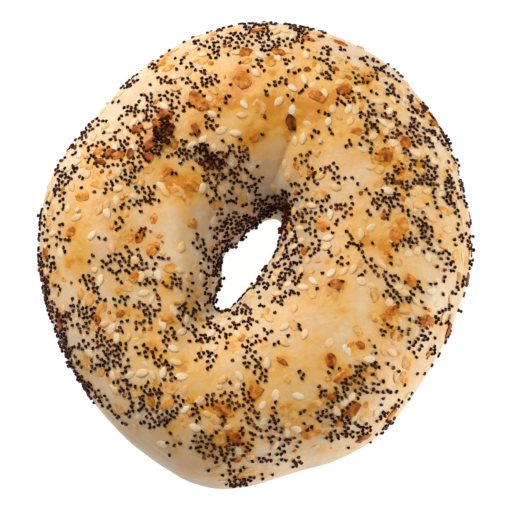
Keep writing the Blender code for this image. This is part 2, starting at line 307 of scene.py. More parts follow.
# Stains round the flakes: how far they reach past the flake, and their strength
MARKED_STAIN_REACH = 0.7 * MM
MARKED_STAIN = 0.85
FLAKE_STAIN_REACH = 0.8 * MM
FLAKE_STAINS = (0.35, 0.95)
SMALL_STAIN_SIZE = 1.4 * MM
SMALL_STAIN = 0.5
STAIN_LIMITS = (-0.5, 1.25)

# Colour ramps for tints and for how baked the crust is, from 0 to 1: pairs of a place and its colour
CRUST_COLOURS = ((0.00, (0.89, 0.69, 0.465)), (0.20, (0.885, 0.62, 0.35)), (0.45, (0.89, 0.545, 0.225)),
                 (0.66, (0.905, 0.495, 0.125)), (0.85, (0.88, 0.425, 0.065)), (1.00, (0.78, 0.30, 0.022)))
# The darker colour that the crust's colour is multiplied by for the painted shade
PAINTED_SHADE_COLOUR = (0.58, 0.54, 0.48, 1)
SESAME_COLOURS = ((0.0, (0.96, 0.75, 0.50)), (0.3, (0.95, 0.68, 0.39)), (0.7, (0.90, 0.55, 0.21)),
                  (1.0, (0.80, 0.41, 0.10)))
POPPY_COLOURS = ((0.0, (0.020, 0.002, 0.001)), (0.5, (0.055, 0.007, 0.002)), (0.8, (0.15, 0.030, 0.008)),
                 (1.0, (0.32, 0.11, 0.035)))
POPPY_GLOSS_COLOUR = (1.0, 0.34, 0.18, 1)
FLAKE_COLOURS = ((0.0, (0.90, 0.54, 0.19)), (0.25, (0.85, 0.365, 0.052)), (0.50, (0.66, 0.195, 0.010)),
                 (0.75, (0.36, 0.072, 0.005)), (1.0, (0.09, 0.014, 0.003)))
GARLIC_COLOURS = ((0.0, (0.92, 0.67, 0.38)), (0.5, (0.90, 0.55, 0.20)), (1.0, (0.85, 0.41, 0.07)))
SALT_COLOURS = ((0.0, (0.90, 0.77, 0.60)), (0.5, (0.86, 0.71, 0.52)), (1.0, (0.80, 0.63, 0.44)))
SUBSURFACE_RADIUS = (1.0, 0.55, 0.28)

# The camera
TARGET = Vector((-0.1, -2.0, 18.0)) * MM
ELEVATION = radians(74)
DISTANCE = 0.55
FOCAL_PIXELS = 2200
PICTURE_PIXELS = 512
SENSOR_WIDTH = 36


# The ring's shape

def closed_curve(values, angle):
    """The smooth closed curve through values that stand at even angles, read at angle."""
    count = len(values)
    place = (angle % tau) / tau * count
    first = np.floor(place).astype(int) % count
    part = place - np.floor(place)
    before, here, after, beyond = (values[(first + step) % count] for step in (-1, 0, 1, 2))
    return 0.5 * (2 * here
                  + (after - before) * part
                  + (2 * before - 5 * here + 4 * after - beyond) * part**2
                  + (3 * here - before - 3 * after + beyond) * part**3)


def signed_power(value, power):
    return np.sign(value) * np.abs(value) ** power


def noise_at(points, size, layer=0):
    """Smooth noise of about -1 to 1 with lumps of a size. Each layer is another noise."""
    shift = Vector((7.3, 2.9, 5.1)) * layer
    return np.array([noise.noise(Vector(point) / size + shift) for point in points])


def crease_depth(round_):
    """How far the creases draw the crust down beside the hole."""
    depth = 0
    for at, clockwise, anticlockwise, deepest in CREASES:
        away = (round_ - at + pi) % tau - pi
        width = np.where(away < 0, clockwise, anticlockwise)
        depth = depth + deepest * np.exp(-((away / width) ** 2))
    return depth


def smooth_crust(round_, over):
    """Points of the part's crust at arrays of the two angles."""
    ray = np.stack([np.cos(round_), np.sin(round_)], axis=-1)
    outer = closed_curve(OUTER_REACH, round_)[:, None] * ray
    inner = closed_curve(HOLE_REACH, round_)[:, None] * ray + HOLE_AT

    upper = np.sin(over) >= 0
    power = np.where(upper, 2 / TOP_FULLNESS, 2 / BASE_FULLNESS)
    outward = signed_power(np.cos(over), power)
    rise = signed_power(np.sin(over), power)
    crest = HEIGHT - WIDEST_AT
    for waves, phase, height in CREST_WAVES:
        crest = crest + height * np.cos(waves * round_ + phase)
    level = rise * np.where(upper, crest, WIDEST_AT + BASE_CUT)

    flat = (inner + outer) / 2 + outward[:, None] * (outer - inner) / 2
    top_share = np.clip(rise, 0, 1)
    smooth = np.column_stack([flat, level])
    level = level * (1 + LUMP_SHARE * noise_at(smooth, LUMP_SIZE) * top_share)
    level = level - crease_depth(round_) * np.clip(-outward, 0, 1) * np.sqrt(top_share)
    return np.column_stack([flat - OUTLINE_MIDDLE, np.maximum(WIDEST_AT + level, 0)])


def outward_and_area(round_, over):
    """The crust's outward direction at each place, and the area that a square radian covers there."""
    step = 0.01
    points = smooth_crust(round_, over)
    along = smooth_crust(round_ + step, over) - points
    upward = smooth_crust(round_, over + step) - points
    outward = np.cross(along, upward)
    area = np.linalg.norm(outward, axis=1)
    return outward / area[:, None], area / step**2


def places_on_crust(degrees):
    """Points of the smooth crust for pairs of angles in degrees."""
    round_, over = np.radians(np.array(degrees, float)).T
    return smooth_crust(round_, over)


# Fields over the crust

def spots(points, where):
    """The sum of soft round spots, each with a place in degrees, a radius in mm and a strength."""
    total = np.zeros(len(points))
    middles = places_on_crust([spot[:2] for spot in where])
    for middle, (_, _, radius, strength) in zip(middles, where):
        gap = np.linalg.norm(points - middle, axis=1)
        total += strength * np.exp(-((gap / (radius * MM)) ** 2))
    return total


def distance_to_line(points, line):
    """How far points are from a line of straight runs, and how far along it the nearest place is, 0 to 1."""
    best = np.full(len(points), np.inf)
    along = np.zeros(len(points))
    runs = len(line) - 1
    for run in range(runs):
        start, end = line[run], line[run + 1]
        part = np.clip((points - start) @ (end - start) / np.sum((end - start) ** 2), 0, 1)
        gap = np.linalg.norm(points - start - part[:, None] * (end - start), axis=1)
        nearer = gap < best
        best[nearer] = gap[nearer]
        along[nearer] = (run + part[nearer]) / runs
    return best, along


def relief(points):
    """How far the fine shape of the crust stands out from the smooth ring."""
    height = np.zeros(len(points))
    for layer, (size, depth) in enumerate(RELIEF, start=1):
        height += depth * noise_at(points, size, layer)
    for line, width, depth in GROOVES:
        gap, along = distance_to_line(points, places_on_crust(line))
        height -= depth * np.exp(-((gap / width) ** 2)) * np.sqrt(np.clip(along / GROOVE_START, 0, 1))
    return height * np.clip(points[:, 2] / RELIEF_LEVEL, 0, 1)


def browning(points, over):
    """How baked the crust is, from 0, pale, to 1, toasted."""
    crown = np.clip((points[:, 2] - CROWN_LEVEL) / CROWN_RISE, 0, 1)
    crown = crown * crown * (3 - 2 * crown)
    into_hole = np.clip((np.degrees(over) - HOLE_OVER) / HOLE_SPAN, 0, 1) * (over < pi)
    baked = BAKED + CROWN_BAKED * crown - HOLE_PALER * into_hole
    baked += spots(points, GOLDEN) - spots(points, PALE)
    for layer, (size, share) in enumerate(BAKED_NOISE, start=BAKED_NOISE_LAYER):
        baked += share * noise_at(points, size, layer)
    underside = np.clip(1 - points[:, 2] / UNDERSIDE_LEVEL, 0, 1)
    return np.clip(baked * (1 - underside) + UNDERSIDE_BAKED * underside, 0, 1)


# Meshes

def added(name, data):
    """A new object with a mesh, lamp or camera."""
    made = bpy.data.objects.new(name, data)
    bpy.context.scene.collection.objects.link(made)
    return made


def set_field(mesh, name, values):
    """Gives each vertex a number, for the material."""
    mesh.attributes.new(name, "FLOAT", "POINT").data.foreach_set("value", values.astype(np.float32))


def mesh_object(name, vertices, faces, material, fields=()):
    """A shaded-smooth object. fields are pairs of a name and a number for each vertex."""
    mesh = bpy.data.meshes.new(name)
    mesh.from_pydata(np.asarray(vertices).tolist(), [], np.asarray(faces).tolist())
    mesh.shade_smooth()
    for field, values in fields:
        set_field(mesh, field, values)
    mesh.materials.append(material)
    return added(name, mesh)


def crust_object():
    base_edge = asin((WIDEST_AT / (WIDEST_AT + BASE_CUT)) ** (BASE_FULLNESS / 2))
    shown = np.linspace(-base_edge, pi + base_edge, OVER_STEPS - BASE_STEPS)
    under = np.linspace(pi + base_edge, tau - base_edge, BASE_STEPS + 2)[1:-1]
    overs = np.concatenate([shown, under])
    rounds = np.arange(ROUND_STEPS) * tau / ROUND_STEPS
    round_, over = np.repeat(rounds, OVER_STEPS), np.tile(overs, ROUND_STEPS)
    smooth = smooth_crust(round_, over)
    outward, _ = outward_and_area(round_, over)
    points = smooth + outward * relief(smooth)[:, None]
    points[:, 2] = np.maximum(points[:, 2], 0)

    first = np.arange(ROUND_STEPS * OVER_STEPS).reshape(ROUND_STEPS, OVER_STEPS)
    across, above = np.roll(first, -1, axis=0), np.roll(first, -1, axis=1)
    corners = np.stack([first, across, np.roll(across, -1, axis=1), above], axis=-1).reshape(-1, 4)
    baked = browning(smooth, over % tau)
    # Painted shade, in and by the hole and in patches on the crown, which the material uses to darken the
    # colour
    painted_shade = np.clip(spots(smooth, PAINTED_SHADE_SPOTS), 0, 1)
    return mesh_object("crust", points, corners, crust_material(), (("baked", baked), ("painted_shade", painted_shade)))


def stain_crust(crust, stains):
    """Tints the crust in soft spots: places, radii and strengths, which are below 0 where it is paler."""
    points = np.array([corner.co for corner in crust.data.vertices])
    stain = np.zeros(len(points))
    faded = 6
    for place, radius, strength in stains:
        square = np.sum((points - np.array(place)) ** 2, axis=1) / radius**2
        near = square < faded
        stain[near] += strength * np.exp(-square[near])
    set_field(crust.data, "stain", np.clip(stain, *STAIN_LIMITS))


def template(build):
    """Vertices and triangles of a shape that build makes in a bmesh."""
    shape = bmesh.new()
    build(shape)
    bmesh.ops.triangulate(shape, faces=shape.faces)
    vertices = np.array([corner.co for corner in shape.verts])
    faces = np.array([[corner.index for corner in face.verts] for face in shape.faces])
    shape.free()
    return vertices, faces


def ball(subdivisions):
    """A ball one unit across."""
    return template(lambda shape: bmesh.ops.create_icosphere(shape, subdivisions=subdivisions, radius=0.5))


def sesame_shape():
    """A flat drop with a blunt point at +X, its faces a little hollow and its rim a little browner."""
    point_share, point_power, round_end_share = 0.45, 1.3, 0.06
    hollow_share, hollow_size, oval = 0.28, 0.22, 1.3
    rim_shade, point_shade = 0.18, 0.15
    vertices, faces = template(lambda shape: bmesh.ops.create_uvsphere(
        shape, u_segments=14, v_segments=10, radius=0.5, matrix=Matrix.Rotation(pi / 2, 4, "Y")))
    along = 2 * vertices[:, 0]
    to_point, to_round_end = np.clip(along, 0, 1), np.clip(-along, 0, 1)
    narrowing = 1 - point_share * to_point**point_power - round_end_share * to_round_end
    vertices[:, 1:] *= narrowing[:, None]
    from_middle = np.hypot(vertices[:, 0], oval * vertices[:, 1])
    vertices[:, 2] *= 1 - hollow_share * np.exp(-((from_middle / hollow_size) ** 2))
    shade = rim_shade * np.clip(2 * from_middle, 0, 1) ** 4 + point_shade * to_point**4
    return vertices, faces, shade


def poppy_shape():
    """A kidney with its notch at +Y, browner there, and lighter brown in a dimple on top: partly the seed's
    own pattern, partly a painted highlight of its lit top.
    """
    width, height, bend = 0.80, 0.76, 0.45
    notch_size, notch_depth, notch_shade = 0.17, 0.24, 0.5
    # The dimple's lighter brown is partly the seed's own pattern, partly a painted highlight of its lit top
    dimple_size, dimple_depth, dimple_painted_highlight = 0.2, 0.08, 0.35
    vertices, faces = ball(2)
    x, y, z = vertices.T
    notch = np.exp(-((x / notch_size) ** 2)) * np.clip(2 * y, 0, 1)
    dimple = np.exp(-((x**2 + y**2) / dimple_size**2)) * (z > 0)
    vertices = np.column_stack([x, width * y + bend * x**2 - notch_depth * notch,
                                height * z - dimple_depth * dimple])
    return vertices, faces, notch_shade * notch + dimple_painted_highlight * dimple


def chip_shapes(count, subdivisions, chance):
    """Flat uneven chips with a few ragged broken edges, wrinkles, and fibres along X."""
    edge_counts, edge_reaches, edge_shifts = (4, 7), (0.70, 1.10), 0.6
    corner_limits, corner_softness, round_middle = (0.55, 1.5), 0.55, 1.5
    ragged_sizes = ((0.28, 0.13), (0.11, 0.05))
    fibre_size, fibre_height, fibre_shade, fibre_count = 0.35, 0.06, 0.16, 4.5
    wrinkle_size, wrinkle_height, wrinkle_shade = 0.40, 0.30, 0.25
    bends, cupped_share, flatness = (0.2, 0.8), 0.4, 0.85
    made = []
    start, faces = ball(subdivisions)
    for _ in range(count):
        layer = int(chance.integers(100))
        edges = int(chance.integers(*edge_counts))
        angles = (np.arange(edges) + edge_shifts * chance.random(edges)) * tau / edges
        reaches = mixed(edge_reaches, chance.random(edges))
        flat = start[:, :2]
        towards = np.stack([np.cos(angles), np.sin(angles)])
        stretch = np.max(flat @ towards / (0.5 * reaches), axis=1)
        radius = 2 * np.linalg.norm(flat, axis=1)
        squared = np.clip(radius / np.maximum(stretch, 0.05), *corner_limits) ** corner_softness
        rim = start * (1, 1, 0)
        ragged = 1 + sum(depth * noise_at(rim, size, layer) for size, depth in ragged_sizes)
        flat = flat * (1 + (squared * ragged - 1) * np.clip(round_middle * radius, 0, 1))[:, None]

        fibres = noise_at(rim * (1.0, fibre_count, 0), fibre_size, layer + 1)
        wrinkles = noise_at(rim, wrinkle_size, layer + 2)
        bend = mixed(bends, chance.random()) * (1 if chance.random() < cupped_share else -1)
        turn = chance.random() * pi
        side = flat[:, 0] * cos(turn) + flat[:, 1] * sin(turn)
        level = (0.5 * signed_power(2 * start[:, 2], flatness) + fibre_height * fibres
                 + wrinkle_height * wrinkles + bend * side**2)
        shade = fibre_shade * fibres + wrinkle_shade * wrinkles
        made.append((np.column_stack([flat, level]), faces, shade))
    return made


def nugget_shapes(count, subdivisions, chance):
    """Rounded lumps of uneven shape."""
    blockiness, lump_size, lump_height, lump_shade = 0.4, 0.40, 0.28, 0.3
    made = []
    start, faces = ball(subdivisions)
    for _ in range(count):
        layer = int(chance.integers(100))
        blocky = start / np.sum(np.abs(start) ** 4, axis=1, keepdims=True) ** 0.25 * 0.5
        vertices = (1 - blockiness) * start + blockiness * blocky
        lumps = noise_at(vertices, lump_size, layer)
        made.append((vertices * (1 + lump_height * lumps)[:, None], faces, lump_shade * lumps))
    return made


def crystal_shape():
    """A cube with its edges worn."""
    def build(shape):
        bmesh.ops.create_cube(shape, size=1)
        bmesh.ops.bevel(shape, geom=shape.edges, offset=0.12, segments=1, affect="EDGES")
    vertices, faces = template(build)
    return vertices, faces, np.zeros(len(vertices))


def joined(name, copies, material):
    """One object of many copies. Each copy has its shape, its matrix and its tint."""
    vertices, faces, tints, count = [], [], [], 0
    for (points, triangles, shade), matrix, tint in copies:
        turn = np.array(matrix)
        vertices.append(points @ turn[:3, :3].T + turn[:3, 3])
        faces.append(triangles + count)
        tints.append(np.clip(tint + shade, 0, 1))
        count += len(points)
    return mesh_object(name, np.concatenate(vertices), np.concatenate(faces), material,
                       (("tint", np.concatenate(tints)),))


# Where the pieces lie

class Ground:
    """The crust to lay pieces on, and the room that the laid ones leave."""
    CELL = 2.5 * MM

    def __init__(self, crust):
        mesh = crust.data
        self.tree = BVHTree.FromPolygons([corner.co for corner in mesh.vertices],
                                         [face.vertices for face in mesh.polygons])
        self.taken = {}

    def cell(self, point):
        return tuple(int(number // self.CELL) for number in point)

    def is_free(self, point, radius):
        x, y, z = self.cell(point)
        near = ((x + i, y + j, z + k) for i in (-1, 0, 1) for j in (-1, 0, 1) for k in (-1, 0, 1))
        return all((point - other).length >= radius + its_radius
                   for cell in near for other, its_radius in self.taken.get(cell, ()))

    def take(self, point, radius):
        self.taken.setdefault(self.cell(point), []).append((point.copy(), radius))

    def take_if_free(self, point, radius):
        free = self.is_free(point, radius)
        if free:
            self.take(point, radius)
        return free

    def seat(self, point):
        """The nearest place on the crust, and the outward direction there."""
        place, outward, _, _ = self.tree.find_nearest(Vector(point))
        return place, outward

    def aside(self, point, chance):
        """A random direction along the crust, and the outward one."""
        _, outward = self.seat(point)
        aside = outward.orthogonal().normalized()
        aside.rotate(Matrix.Rotation(chance.random() * tau, 3, outward))
        return aside, outward

    def spin_towards(self, point, heading):
        """The spin that points a frame's X along a heading, seen from above."""
        along = self.frame(point, 0).to_3x3().inverted() @ Vector((cos(heading), sin(heading), 0))
        return atan2(along.y, along.x)

    def frame(self, point, spin, lift=0.0, lean=0.0):
        """A matrix that stands on the crust: Z outward, turned by spin, raised by lift, leaning by lean."""
        place, outward = self.seat(point)
        upright = outward.to_track_quat("Z", "Y").to_matrix().to_4x4()
        return (Matrix.Translation(place + lift * outward) @ upright
                @ Matrix.Rotation(spin, 4, "Z") @ Matrix.Rotation(lean, 4, "X"))


def mixed(limits, share):
    """The number that lies a share of the way between two limits."""
    low, high = limits
    return low + (high - low) * share


def between(limits, chance):
    """A random number between two limits, drawn to the lower one by a third number, a power. A single
    number stays as it is."""
    if isinstance(limits, (int, float)):
        return limits
    low, high, power = (*limits, 1)[:3]
    return mixed((low, high), chance.random() ** power)


def tilted(tilt, chance):
    return tilt * (chance.random() - 0.5)


def random_points(draws, over_limits, thickness_of, chance):
    """Points of the crust between two angles over the dough, as thick as thickness_of says."""
    round_ = chance.random(draws) * tau
    over = mixed(over_limits, chance.random(draws))
    points = smooth_crust(round_, over)
    likely = outward_and_area(round_, over)[1] * thickness_of(points, over)
    return points[chance.random(draws) * likely.max() < likely]


def in_patches(points, radius):
    """How thick flakes lie in their patches, which have a radius in mm."""
    return spots(points, [(*patch, radius, 1) for patch in FLAKE_PATCHES])


def scatter(count, patch_extra, chance, taken):
    """The part's own rule: points and turns for count pieces, even over the topped part but for the
    patches, and none nearer to another than the spacing."""
    def thickness_of(points, over):
        return np.interp(over, TOPPED, (0, 1, 1, 0)) * (1 + patch_extra * in_patches(points, PATCH_RADIUS))

    places = []
    for point in random_points(TOPPING_DRAWS, (TOPPED[0], TOPPED[3]), thickness_of, chance):
        if len(places) < count and all(np.linalg.norm(point - other) > SPACING for other in taken):
            taken.append(point)
            places.append((Vector(point), chance.random() * tau))
    return places


def places_on_top(count, chance):
    """Even places on the topped part of the crust, which may overlap."""
    return random_points(4 * count, (0, TOPPED[3]), lambda points, over: 1, chance)[:count]


def strewn(count, room, thickness_of, chance, ground):
    """Points for count small pieces that find room."""
    places = []
    for point in random_points(STREWN_DRAWS * count, STREWN_OVER, thickness_of, chance):
        place, _ = ground.seat(point)
        if len(places) < count and ground.take_if_free(place, room):
            places.append(place)
    return places


def cover(points):
    """How thick toppings lie: 1, but nearly 0 on the bare patches."""
    return np.clip(1 - spots(points, BARE), BARE_LEAST, 1)


def topped_share(points, over):
    return np.interp(over, STREWN_AT, STREWN_THICKNESS)


def sesame_share(points, over):
    return topped_share(points, over) * mixed((SESAME_EVEN, 1), cover(points))


def flake_share(points, over):
    flakes = FLAKES_EVEN + in_patches(points, FLAKE_PATCH_RADIUS)
    return topped_share(points, over) * flakes * cover(points)


def poppy_share(points, over):
    """Loose poppy seeds lie in drifts, and are few low on the outer side and on the bare patches."""
    degrees = np.degrees(over)
    even = POPPY_EVEN * np.interp(degrees, *POPPY_EVEN_OVER)
    drifts = POPPY_DRIFTS * np.interp(degrees, *POPPY_DRIFTS_OVER) * spots(points, DRIFTS)
    uneven = POPPY_UNEVEN * (1 + noise_at(points, POPPY_UNEVEN_SIZE, POPPY_UNEVEN_LAYER))
    return (even + drifts) * np.clip(uneven, *POPPY_UNEVEN_LIMITS) * cover(points)


def clump(middle, count, slack, chance, ground):
    """Places of seeds that lie together: each new one is beside another, with some slack in seed widths."""
    place, _ = ground.seat(middle)
    beside = [place]
    members = [place] if ground.take_if_free(place, POPPY_ROOM) else []
    for _ in range(CLUMP_TRIES * count):
        if len(members) >= count:
            break
        parent = beside[int(chance.integers(len(beside)))]
        aside, _ = ground.aside(parent, chance)
        widths = CLUMP_GAP + slack * chance.random() ** SLACK_POWER
        place, _ = ground.seat(parent + aside * 2 * POPPY_ROOM * widths)
        if ground.take_if_free(place, POPPY_ROOM):
            members.append(place)
            beside.append(place)
    return members


def heap_on(members, chance, ground):
    """Places above the crust for seeds that lie on the gaps between others."""
    made = []
    for member in members:
        aside, outward = ground.aside(member, chance)
        place = member + HEAP_ASIDE * aside + HEAP_RISE * outward
        if chance.random() < HEAP_CHANCE and ground.take_if_free(place, HEAP_ROOM):
            made.append(place)
    return made


# Materials

def node(tree, kind, inputs=None, **settings):
    """Adds a node. Each input, by its name or number, is a value or another node's output."""
    made = tree.nodes.new(kind)
    for name, value in settings.items():
        setattr(made, name, value)
    for name, value in (inputs or {}).items():
        if isinstance(value, bpy.types.NodeSocket):
            tree.links.new(value, made.inputs[name])
        else:
            made.inputs[name].default_value = value
    return made


def new_material(name, roughness, specular, subsurface=0.0, depth=MM):
    """A material and its shader, with what is the same all over. depth is how far light scatters in it."""
    made = bpy.data.materials.new(name)
    made.use_nodes = True
    shader = made.node_tree.nodes["Principled BSDF"]
    values = {"Roughness": roughness, "Specular IOR Level": specular, "Subsurface Weight": subsurface,
              "Subsurface Radius": SUBSURFACE_RADIUS, "Subsurface Scale": depth}
    for key, value in values.items():
        shader.inputs[key].default_value = value
    return made, made.node_tree, shader


def ramp(tree, factor, stops):
    """A colour ramp with a stop for each pair of place and colour."""
    made = node(tree, "ShaderNodeValToRGB", {"Fac": factor})
    elements = made.color_ramp.elements
    while len(elements) < len(stops):
        elements.new(1)
    for element, (place, colour) in zip(elements, stops):
        element.position = place
        element.color = (*colour, 1)
    return made.outputs["Color"]


def math(tree, operation, first, second):
    return node(tree, "ShaderNodeMath", {0: first, 1: second}, operation=operation).outputs[0]


def noise_texture(tree, size, detail=3.0, roughness=0.55):
    """Noise in the object's own space with lumps of a size, from 0 to 1."""
    place = node(tree, "ShaderNodeTexCoord").outputs["Object"]
    made = node(tree, "ShaderNodeTexNoise",
                {"Vector": place, "Scale": 1 / size, "Detail": detail, "Roughness": roughness})
    return made.outputs["Fac"]


def wobbled(tree, value, size, strength):
    """A value with noise of a size added to it."""
    wobble = math(tree, "MULTIPLY", math(tree, "SUBTRACT", noise_texture(tree, size), 0.5), strength)
    return math(tree, "ADD", value, wobble)


def attribute(tree, name):
    return node(tree, "ShaderNodeAttribute", attribute_name=name).outputs["Fac"]


def bump(tree, shader, height, distance):
    made = node(tree, "ShaderNodeBump", {"Height": height, "Distance": distance, "Strength": 0.7})
    tree.links.new(made.outputs["Normal"], shader.inputs["Normal"])


def crust_material():
    """Browner where it is baked and stained, darker with painted shade in and by the hole and in patches on
    the crown, duller where it is pale, and finely wrinkled.
    """
    browner_in = ((4.2 * MM, 0.75), (1.7 * MM, 0.42), (0.5 * MM, 0.12))
    dullness, duller_if_pale, duller_in = 0.46, 0.16, (2.5 * MM, 0.2)
    wrinkle_size, wrinkle_height, pore_size = 2.6 * MM, 3.5, 0.8 * MM
    made, tree, shader = new_material("baked_crust", roughness=0.48, specular=0.32, subsurface=0.15,
                                      depth=1.4 * MM)
    stained = math(tree, "MULTIPLY", attribute(tree, "stain"), noise_texture(tree, 1.2 * MM))
    baked = math(tree, "ADD", attribute(tree, "baked"), stained)
    for size, strength in browner_in:
        baked = wobbled(tree, baked, size, strength)
    # Painted shade: the crust's colour is multiplied by a darker colour where the shade spots lie
    darkened = node(tree, "ShaderNodeMixRGB",
                    {"Fac": attribute(tree, "painted_shade"), "Color1": ramp(tree, baked, CRUST_COLOURS),
                     "Color2": PAINTED_SHADE_COLOUR}, blend_type="MULTIPLY")
    tree.links.new(darkened.outputs["Color"], shader.inputs["Base Color"])
    dull = math(tree, "SUBTRACT", dullness, math(tree, "MULTIPLY", baked, duller_if_pale))
    tree.links.new(wobbled(tree, dull, *duller_in), shader.inputs["Roughness"])
    wrinkles = math(tree, "MULTIPLY", noise_texture(tree, wrinkle_size, 2.0), wrinkle_height)
    pores = noise_texture(tree, pore_size, 4.0, 0.62)
    bump(tree, shader, math(tree, "ADD", pores, wrinkles), 0.10 * MM)
    return made


def topping_material(name, colours, wobble, roughness, specular, subsurface, grain, grain_height=0.03 * MM):
    """A seed's or flake's material: its colour goes by the tint of each piece and wobbles within it,
    by a pair of the wobble's size and strength."""
    made, tree, shader = new_material(name, roughness, specular, subsurface, depth=0.25 * MM)
    tint = wobbled(tree, attribute(tree, "tint"), *wobble)
    tree.links.new(ramp(tree, tint, colours), shader.inputs["Base Color"])
    bump(tree, shader, noise_texture(tree, grain, 2.0), grain_height)
    return made


def sesame_material():
    return topping_material("sesame", SESAME_COLOURS, wobble=(0.8 * MM, 0.6), roughness=0.42, specular=0.25,
                            subsurface=0.4, grain=0.35 * MM, grain_height=0.02 * MM)


def poppy_material():
    made = topping_material("poppy", POPPY_COLOURS, wobble=(0.8 * MM, 0.8), roughness=0.36, specular=0.11,
                            subsurface=0.0, grain=0.16 * MM)
    made.node_tree.nodes["Principled BSDF"].inputs["Specular Tint"].default_value = POPPY_GLOSS_COLOUR
    return made


def flake_material():
    return topping_material("toasted_onion", FLAKE_COLOURS, wobble=(1.2 * MM, 1.1), roughness=0.48,
                            specular=0.15, subsurface=0.6, grain=0.7 * MM)


def garlic_material():
    return topping_material("garlic", GARLIC_COLOURS, wobble=(0.8 * MM, 0.8), roughness=0.5, specular=0.15,
                            subsurface=0.5, grain=0.4 * MM)


def salt_material():
    return topping_material("salt", SALT_COLOURS, wobble=(0.8 * MM, 0.3), roughness=0.5, specular=0.3,
                            subsurface=0.5, grain=0.3 * MM)


# The topping. A copy is a shape, its matrix and its tint, and a stain is a place, a radius and a strength

def sized(matrix, length, width, thickness):
    return matrix @ Matrix.Diagonal((length, width, thickness, 1))


def picked(shapes, chance):
    return shapes[int(chance.integers(len(shapes)))]


def laid(kind, shapes, places, chance, ground):
    """Copies of a kind's random shapes at places."""
    made = []
    for point in places:
        length = between(kind.lengths, chance) * MM
        width = length * between(kind.slimness, chance)
        unit = length if kind.by_length else MM
        thickness = between(kind.thickness, chance) * unit
        lift = between(kind.lift, chance) * unit
        matrix = ground.frame(point, chance.random() * tau, lift, tilted(kind.tilt, chance))
        shape = picked(shapes, chance)
        made.append((shape, sized(matrix, length, width, thickness), between(kind.tints, chance)))
    return made


def marked_flakes(marked, chips, chance, ground):
    """Copies of the flakes that stand out, and the stains round them."""
    copies, stains = [], []
    for round_, over, length, width, heading, toasted in marked:
        point = places_on_crust([(round_, over)])[0]
        place, _ = ground.seat(point)
        ground.take(place, MARKED_ROOM_SHARE * (length + width) / 2 * MM)
        spin = ground.spin_towards(point, radians(heading))
        matrix = ground.frame(point, spin, MARKED_LIFT, tilted(MARKED_TILT, chance))
        chip = picked(chips, chance)
        size = MARKED_SPREAD * length * MM, MARKED_SPREAD * width * MM, mixed(MARKED_THICKNESS, toasted)
        copies.append((chip, sized(matrix, *size), toasted))
        stains.append((place, 0.5 * length * MM + MARKED_STAIN_REACH, MARKED_STAIN))
    return copies, stains


def solid_flakes(places, lengths, slimnesses, chips, chance, ground):
    """Copies of the flakes that the solid has too, and the stains round them."""
    copies, stains = [], []
    for (point, spin), length, slimness in zip(places, lengths, slimnesses):
        place, _ = ground.seat(point)
        ground.take(place, FLAKE_ROOM_SHARE * length)
        matrix = ground.frame(point, spin, FLAKE_LIFT, tilted(FLAKE_TILT, chance))
        chip = picked(chips, chance)
        tint = between(FLAKE_TINTS, chance)
        copies.append((chip, sized(matrix, length, slimness * length, FLAKE_THICKNESS), tint))
        stains.append((place, 0.5 * length + FLAKE_STAIN_REACH, mixed(FLAKE_STAINS, tint)))
    return copies, stains


def solid_sesame(places, seed, chance, ground):
    """Copies of the sesame seeds that the solid has too."""
    copies = []
    for point, spin in places:
        ground.take(ground.seat(point)[0], SESAME_ROOM)
        matrix = ground.frame(point, spin, SESAME_LIFT, tilted(SESAME_TILT, chance))
        length = between(SESAME_LENGTHS, chance)
        size = length, SESAME_SLIMNESS * length, SESAME_THICKNESS
        copies.append((seed, sized(matrix, *size), between(SESAME_TINTS, chance)))
    return copies


def topping(ground):
    """Every kind of topping, as named lists of copies, and the stains that it leaves on the crust."""
    chance = np.random.default_rng(TOPPING_SEED)

    def places_for(kind, share):
        return strewn(kind.count, kind.room * MM, share, chance, ground)

    taken = []
    flake_places = scatter(FLAKE_COUNT, PATCH_EXTRA, chance, taken)
    sesame_places = scatter(SESAME_COUNT, 0, chance, taken)
    *limits, power = FLAKE_LENGTHS
    lengths = mixed(limits, chance.random(FLAKE_COUNT) ** power)
    slimnesses = mixed(FLAKE_SLIMNESS, chance.random(FLAKE_COUNT))
    chips = chip_shapes(14, 4, chance)
    seed = sesame_shape()
    flakes, stains = marked_flakes(MARKED_FLAKES, chips, chance, ground)
    solid, solid_stains = solid_flakes(flake_places, lengths, slimnesses, chips, chance, ground)
    sesame = solid_sesame(sesame_places, seed, chance, ground)

    small_chips = chip_shapes(12, 3, chance)
    thin_places = places_for(THIN_FLAKES, flake_share)
    thin = laid(THIN_FLAKES, small_chips, thin_places, chance, ground)
    small_places = places_for(SMALL_FLAKES, flake_share)
    small = laid(SMALL_FLAKES, small_chips, small_places, chance, ground)
    stains += solid_stains + [(place, SMALL_STAIN_SIZE, SMALL_STAIN) for place in small_places]
    stains += [(place, between(MELTED_SIZES, chance), MELTED_STRENGTH)
               for place in strewn(MELTED_COUNT, MELTED_ROOM, flake_share, chance, ground)]
    stains += [(place, between(BLOTCH_SIZES, chance), between(BLOTCH_STRENGTHS, chance))
               for place in places_on_top(BLOTCH_COUNT, chance)]

    garlic_places = places_for(GARLIC_BITS, flake_share)
    garlic = laid(GARLIC_BITS, nugget_shapes(8, 3, chance), garlic_places, chance, ground)
    more_places = places_for(MORE_SESAME, sesame_share)
    sesame += laid(MORE_SESAME, [seed], more_places, chance, ground)
    salt_places = places_for(SALT_CRYSTALS, topped_share)
    salt = laid(SALT_CRYSTALS, [crystal_shape()], salt_places, chance, ground)
    poppies = poppy_seeds(np.random.default_rng(POPPY_SEED), ground)
    crumb_places = places_for(CRUMBS, flake_share)
    crumbs = laid(CRUMBS, nugget_shapes(6, 2, chance), crumb_places, chance, ground)
    top, top_stains = marked_flakes(TOP_FLAKES, chips, chance, ground)
    flakes += solid + thin + small + crumbs + top
    return ({"flakes": flakes, "sesame": sesame, "garlic": garlic, "salt": salt, "poppies": poppies},
            stains + top_stains)


